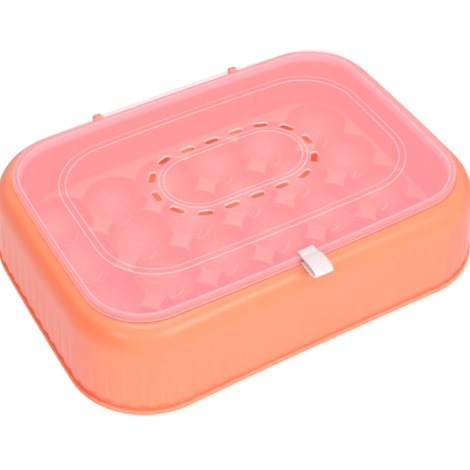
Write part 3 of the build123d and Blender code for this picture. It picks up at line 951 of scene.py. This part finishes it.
# Painted shade: walls that turn away from the eye are blended to a darker tone.
tones = blend(tree, ramp(tree, sideways, 0.33, 0.75), tones, WALL_ASIDE_SHADE)
# Painted shade: the shoulder below the rim is darker near the two ends.
below_rim = inverse(tree, times(tree, ramp(tree, level, 67.0, 70.5), 0.75))
end_shade_share = times(tree, below_rim, ramp(tree, from_middle, 125.0, 152.0))
shoulder = blend(tree, end_shade_share, SHOULDER_TONE, SHOULDER_END_SHADE)
colour = blend(tree, ramp(tree, level, 50.0, 66.0), tones, shoulder)
# Painted shade: the lower shoulder is darker still where it turns away from the eye.
turned_away_shade = ramp(tree, sideways, 0.35, 0.85)
turned_away_shade = times(tree, turned_away_shade, ramp(tree, level, 56.0, 66.0))
colour = blend(tree, turned_away_shade, colour, AWAY_SHADE_TONE)
reed = tree.nodes.new("ShaderNodeAttribute")
reed.attribute_name = "valley"
reed = reed.outputs["Fac"]
# Painted highlight: pale lines along the reeds' valleys in the lower half.
lower_half = inverse(tree, ramp(tree, level, 14.0, 48.0))
valley_highlight = times(tree, ramp(tree, reed, 0.55, 1.0), lower_half)
valley_highlight = times(tree, valley_highlight, 0.2)
colour = blend(tree, valley_highlight, colour, VALLEY_HIGHLIGHT_TONE)
print("housing plastic:", body_plastic.name)

# %% [markdown]
# The foot band is deeper than the wall up to the tips at the foot of each reed, and more so towards the ends:
# this is painted shade under the reeds' ends. The band's lip is pale again, with a painted highlight along its
# rounded top and painted shade at the ends. The narrow rim at the top of the opening is dark: a painted shadow
# under the lid's skirt.
# %% Foot and rim tones
BAND_SHADE_TONE, RIM_SHADOW_TONE = (0.93, 0.15, 0.045), (0.76, 0.16, 0.07)
LIP_LOW, LIP_HIGHLIGHT, LIP_END_SHADE = (0.98, 0.31, 0.175), (1.0, 0.37, 0.23), (0.93, 0.19, 0.09)
TIP_HEIGHT = 2.4
# Painted shade: the band below the reeds' tips, stronger towards the ends.
tips = math_node(tree, "MULTIPLY_ADD", reed, TIP_HEIGHT, REED_FOOT + 0.2)
above_tips = ramp(tree, math_node(tree, "SUBTRACT", level, tips), -1.6, 3.0)
shade_towards_end = math_node(tree, "MULTIPLY_ADD", ramp(tree, from_middle, 40.0, 150.0), 0.30, 0.20)
at_end = ramp(tree, from_middle, 148.0, 161.0)
shade_towards_end = math_node(tree, "MULTIPLY_ADD", at_end, 0.45, shade_towards_end)
band_shade = times(tree, inverse(tree, above_tips), shade_towards_end)
colour = blend(tree, band_shade, colour, BAND_SHADE_TONE)
# Painted highlight along the lip's rounded top, and painted shade on the lip at the ends.
lip = blend(tree, ramp(tree, level, FOOT_HEIGHT - 1.6, FOOT_HEIGHT - 0.4), LIP_LOW, LIP_HIGHLIGHT)
lip = blend(tree, at_end, lip, LIP_END_SHADE)
colour = blend(tree, ramp(tree, level, FOOT_HEIGHT - 0.1, FOOT_HEIGHT + 0.1), lip, colour)
# Painted shadow: a dark line on the rim just under the lid's skirt.
rim_steps = [SHOULDER_TOP + step for step in (-0.08, -0.02, 0.1, 0.2)]
colour = blend(tree, band(tree, level, *rim_steps), colour, RIM_SHADOW_TONE)
tree.links.new(colour, shader.inputs["Base Color"])
housing.data.materials.append(body_plastic)
print("housing plastic has", len(tree.nodes), "nodes")

# %% [markdown]
# ## The tray's colour
# The tray has the same dye, with more scattering below its surface. Painted light makes it paler on the posts and
# low in the cups. A pale crescent, a painted highlight, is put beside each cup's seat, on the side towards the
# front.
# It is worked out once for a single cell of the cup grid and repeats with it. Painted light makes the wall of the
# tray pale towards its lip.
# %% Tray plastics
TRAY_TONE, TRAY_DEEP, CUP_LOW_LIGHT = (0.99, 0.165, 0.074), (0.98, 0.15, 0.062), (1.0, 0.245, 0.14)
POST_TOP_LIGHT, CRESCENT_HIGHLIGHT_TONE, TRAY_LIP_LIGHT = (1.0, 0.29, 0.175), (1.0, 0.54, 0.45), (0.84, 0.50, 0.48)
CRESCENT_SHIFT, CRESCENT_RADII = (2.0, -1.0), (6.9, 7.9, 8.4, 9.4)


def seat_highlight_crescent(tree):
    """A mask of one painted highlight crescent beside each cup's seat, strongest towards the front."""
    axes = object_axes(tree)
    local = []
    for axis, pitch, cups, shift in zip("XY", (PITCH_X, PITCH_Y), (COLUMNS, ROWS), CRESCENT_SHIFT):
        cell = math_node(tree, "MULTIPLY_ADD", axes[axis], 1 / (pitch * MM), cups / 2)
        cell = math_node(tree, "FRACT", cell)
        local.append(math_node(tree, "MULTIPLY_ADD", cell, pitch, -pitch / 2 - shift))
    squares = [times(tree, value, value) for value in local]
    radius = math_node(tree, "SQRT", math_node(tree, "ADD", *squares))
    forward = times(tree, local[0], 0.05)
    forward = math_node(tree, "MULTIPLY_ADD", local[1], -1.0, forward)
    front_side = math_node(tree, "MULTIPLY_ADD", ramp(tree, forward, 2.0, 6.5), 0.9, 0.1)
    return times(tree, band(tree, radius, *CRESCENT_RADII), front_side)


for name, lip_light in (("orange_tray", None), ("orange_tray_wall", TRAY_LIP_LIGHT)):
    material, tree, shader, tones = plastic(name, TRAY_TONE, TRAY_DEEP, 0.45, Grain_Depth=0.2, Scuffs=0.1)
    scatter(shader, 0.55, DYED_SCATTER, 0.010)
    _, level = place_of(tree)
    # Painted light: paler low in the cups and on the post tops.
    colour = blend(tree, ramp(tree, level, 5.0, 21.0), CUP_LOW_LIGHT, tones)
    colour = blend(tree, band(tree, level, 25.0, 25.7, 25.9, 27.0), colour, POST_TOP_LIGHT)
    low_down = inverse(tree, ramp(tree, level, 9.0, 12.0))
    # Painted highlight: a pale crescent beside each seat.
    crescent_highlight = times(tree, seat_highlight_crescent(tree), low_down)
    colour = blend(tree, crescent_highlight, colour, CRESCENT_HIGHLIGHT_TONE)
    # Painted light: the tray's wall pales towards its lip.
    if lip_light:
        colour = blend(tree, ramp(tree, level, 65.5, 71.5), colour, lip_light)
    tree.links.new(colour, shader.inputs["Base Color"])
    tray.data.materials.append(material)
print("tray plastics:", [m.name for m in tray.data.materials])

# %% [markdown]
# ## The lid's plastics
# The lid is a thin milky sheet: most of it lets the tray show through, so it is part transparent, and its edge,
# the flanks of its beads and the walls of its vents let through less. The pale lines on the beads' tops and along
# the edge are painted highlights. Shadow rays pass it freely, because a translucent sheet spreads the light and
# doesn't stop it.
# %% Lid plastics
for name, colour, alpha, roughness in (
    ("milky_sheet", (0.97, 0.49, 0.575), 0.27, 0.22),
    ("milky_edge", (0.97, 0.52, 0.58), 0.30, 0.25),
    # Painted highlights: pale thin lines on the beads' tops and along the lid's edge.
    ("bead_highlight", (0.98, 0.86, 0.86), 0.50, 0.2),
    ("edge_highlight", (0.98, 0.80, 0.82), 0.42, 0.2),
    ("vent_wall", (0.98, 0.86, 0.88), 0.72, 0.2),
):
    deep = [c * 0.97 for c in colour]
    _, tree, shader, _ = plastic(name, colour, deep, roughness, Grain_Depth=0.2, Scuffs=0.4)
    light_path = tree.nodes.new("ShaderNodeLightPath")
    lit = inverse(tree, light_path.outputs["Is Shadow Ray"])
    tree.links.new(times(tree, lit, alpha), shader.inputs["Alpha"])
print("lid plastics:", [m.name for m in lid.data.materials])

# %% [markdown]
# ## The strap's plastics
# The strap is a soft white plastic with a coarser grain, a little paler low down. Its foot has a pinker tone, as
# if the lid showed through it.
# %% Strap plastics
STRAP_TONE, STRAP_DEEP, STRAP_LOW = (0.72, 0.645, 0.645), (0.69, 0.62, 0.62), (0.86, 0.82, 0.82)
FOOT_TONE, FOOT_DEEP = (0.74, 0.60, 0.63), (0.72, 0.58, 0.61)
for name, tone, deep in (("white_strap", STRAP_TONE, STRAP_DEEP), ("strap_foot", FOOT_TONE, FOOT_DEEP)):
    material, tree, shader, tones = plastic(name, tone, deep, 0.45, Grain_Depth=0.8, Scuffs=0.5)
    scatter(shader, 0.2, (1.0, 1.0, 1.0), 0.002)
    if name == "white_strap":
        _, level = place_of(tree)
        colour = blend(tree, ramp(tree, level, 73.5, 77.5), STRAP_LOW, tones)
        tree.links.new(colour, shader.inputs["Base Color"])
    loop.data.materials.append(material)
print("materials:", [m.name for m in bpy.data.materials if m.users])

# %% [markdown]
# ## Floor, light and background
# A pale floor keeps a soft shadow, and a bright even surround fills the plastic. To the camera, in reflections
# and through clear parts both are mostly plain white, which the Light Path node tells them.
# %% Floor and surround
FLOOR_HALF, FLOOR_GLOW, FLOOR_GLOW_SHARE, SURROUND = 6, 1.12, 0.8, 0.62


def background_ray(tree):
    """1 for the rays that meet the plain background: from the camera, mirrored or let through."""
    rays = tree.nodes.new("ShaderNodeLightPath").outputs
    ray = math_node(tree, "MAXIMUM", rays["Is Camera Ray"], rays["Is Transmission Ray"])
    return math_node(tree, "MAXIMUM", ray, rays["Is Glossy Ray"])


floor_mesh = bpy.data.meshes.new("floor")
corners = [(x * FLOOR_HALF, y * FLOOR_HALF, 0) for x, y in ((-1, -1), (1, -1), (1, 1), (-1, 1))]
floor_mesh.from_pydata(corners, [], [(0, 1, 2, 3)])
floor = put("floor", floor_mesh)
floor_material = bpy.data.materials.new("pale_floor")
floor_material.use_nodes = True
tree = floor_material.node_tree
shader = tree.nodes["Principled BSDF"]
shader.inputs["Base Color"].default_value = (0.86, 0.86, 0.86, 1)
shader.inputs["Roughness"].default_value = 0.9
shader.inputs["Specular IOR Level"].default_value = 0.1
glow = tree.nodes.new("ShaderNodeEmission")
glow.inputs["Color"].default_value = (1, 1, 1, 1)
glow.inputs["Strength"].default_value = FLOOR_GLOW
mix = tree.nodes.new("ShaderNodeMixShader")
share = times(tree, background_ray(tree), FLOOR_GLOW_SHARE)
tree.links.new(share, mix.inputs["Fac"])
tree.links.new(shader.outputs["BSDF"], mix.inputs[1])
tree.links.new(glow.outputs["Emission"], mix.inputs[2])
tree.links.new(mix.outputs["Shader"], tree.nodes["Material Output"].inputs["Surface"])
floor.data.materials.append(floor_material)

world = bpy.data.worlds.new("surround")
bpy.context.scene.world = world
world.use_nodes = True
tree = world.node_tree
light = tree.nodes["Background"]
light.inputs["Color"].default_value = (1, 1, 1, 1)
light.inputs["Strength"].default_value = SURROUND
plain = tree.nodes.new("ShaderNodeBackground")
plain.inputs["Strength"].default_value = 1.0
plain.inputs["Color"].default_value = (1, 1, 1, 1)
mix = tree.nodes.new("ShaderNodeMixShader")
tree.links.new(background_ray(tree), mix.inputs["Fac"])
tree.links.new(light.outputs["Background"], mix.inputs[1])
tree.links.new(plain.outputs["Background"], mix.inputs[2])
tree.links.new(mix.outputs["Shader"], tree.nodes["World Output"].inputs["Surface"])
print("surround strength", SURROUND)

# %% [markdown]
# Three area lamps add to the surround: a wide one in front for the near wall, one above for the tray under the
# lid, and a small pinkish one at the left for the highlight on the shoulder.
# %% Lamps
AIM = (0, 0, 0.04)


def area_lamp(name, place, size, power, colour=(1.0, 1.0, 1.0)):
    """A rectangular lamp at a place in metres, turned towards the object."""
    lamp = bpy.data.lights.new(name, "AREA")
    lamp.color = colour
    lamp.shape = "RECTANGLE"
    lamp.size, lamp.size_y = size
    lamp.energy = power
    holder = put(name, lamp)
    holder.location = place
    holder.rotation_euler = (Vector(AIM) - Vector(place)).to_track_quat("-Z", "Y").to_euler()


area_lamp("front_lamp", (0.25, -1.35, 0.95), (1.0, 0.4), 10)
area_lamp("top_lamp", (0.0, 0.1, 1.6), (0.7, 0.7), 9)
area_lamp("left_lamp", (-1.15, -0.65, 0.8), (0.3, 0.3), 3.5, (1.0, 0.84, 0.88))

# %% [markdown]
# ## Camera
# The object is seen from in front and above, a little to the left, with a long lens that keeps the long sides
# nearly parallel.
# %% Camera
camera_data = bpy.data.cameras.new("camera")
SENSOR = 36.0
camera_data.sensor_width = SENSOR
camera_data.lens = SENSOR * 1200 / 470
camera = put("camera", camera_data)
camera.location = (-0.31781, -0.55390, 0.64636)
camera.rotation_euler = (math.radians(90 - 44.99), 0, math.radians(-29.88))
bpy.context.scene.camera = camera
bpy.context.scene.view_settings.view_transform = "Standard"
print("lens", round(camera_data.lens, 1), "mm")
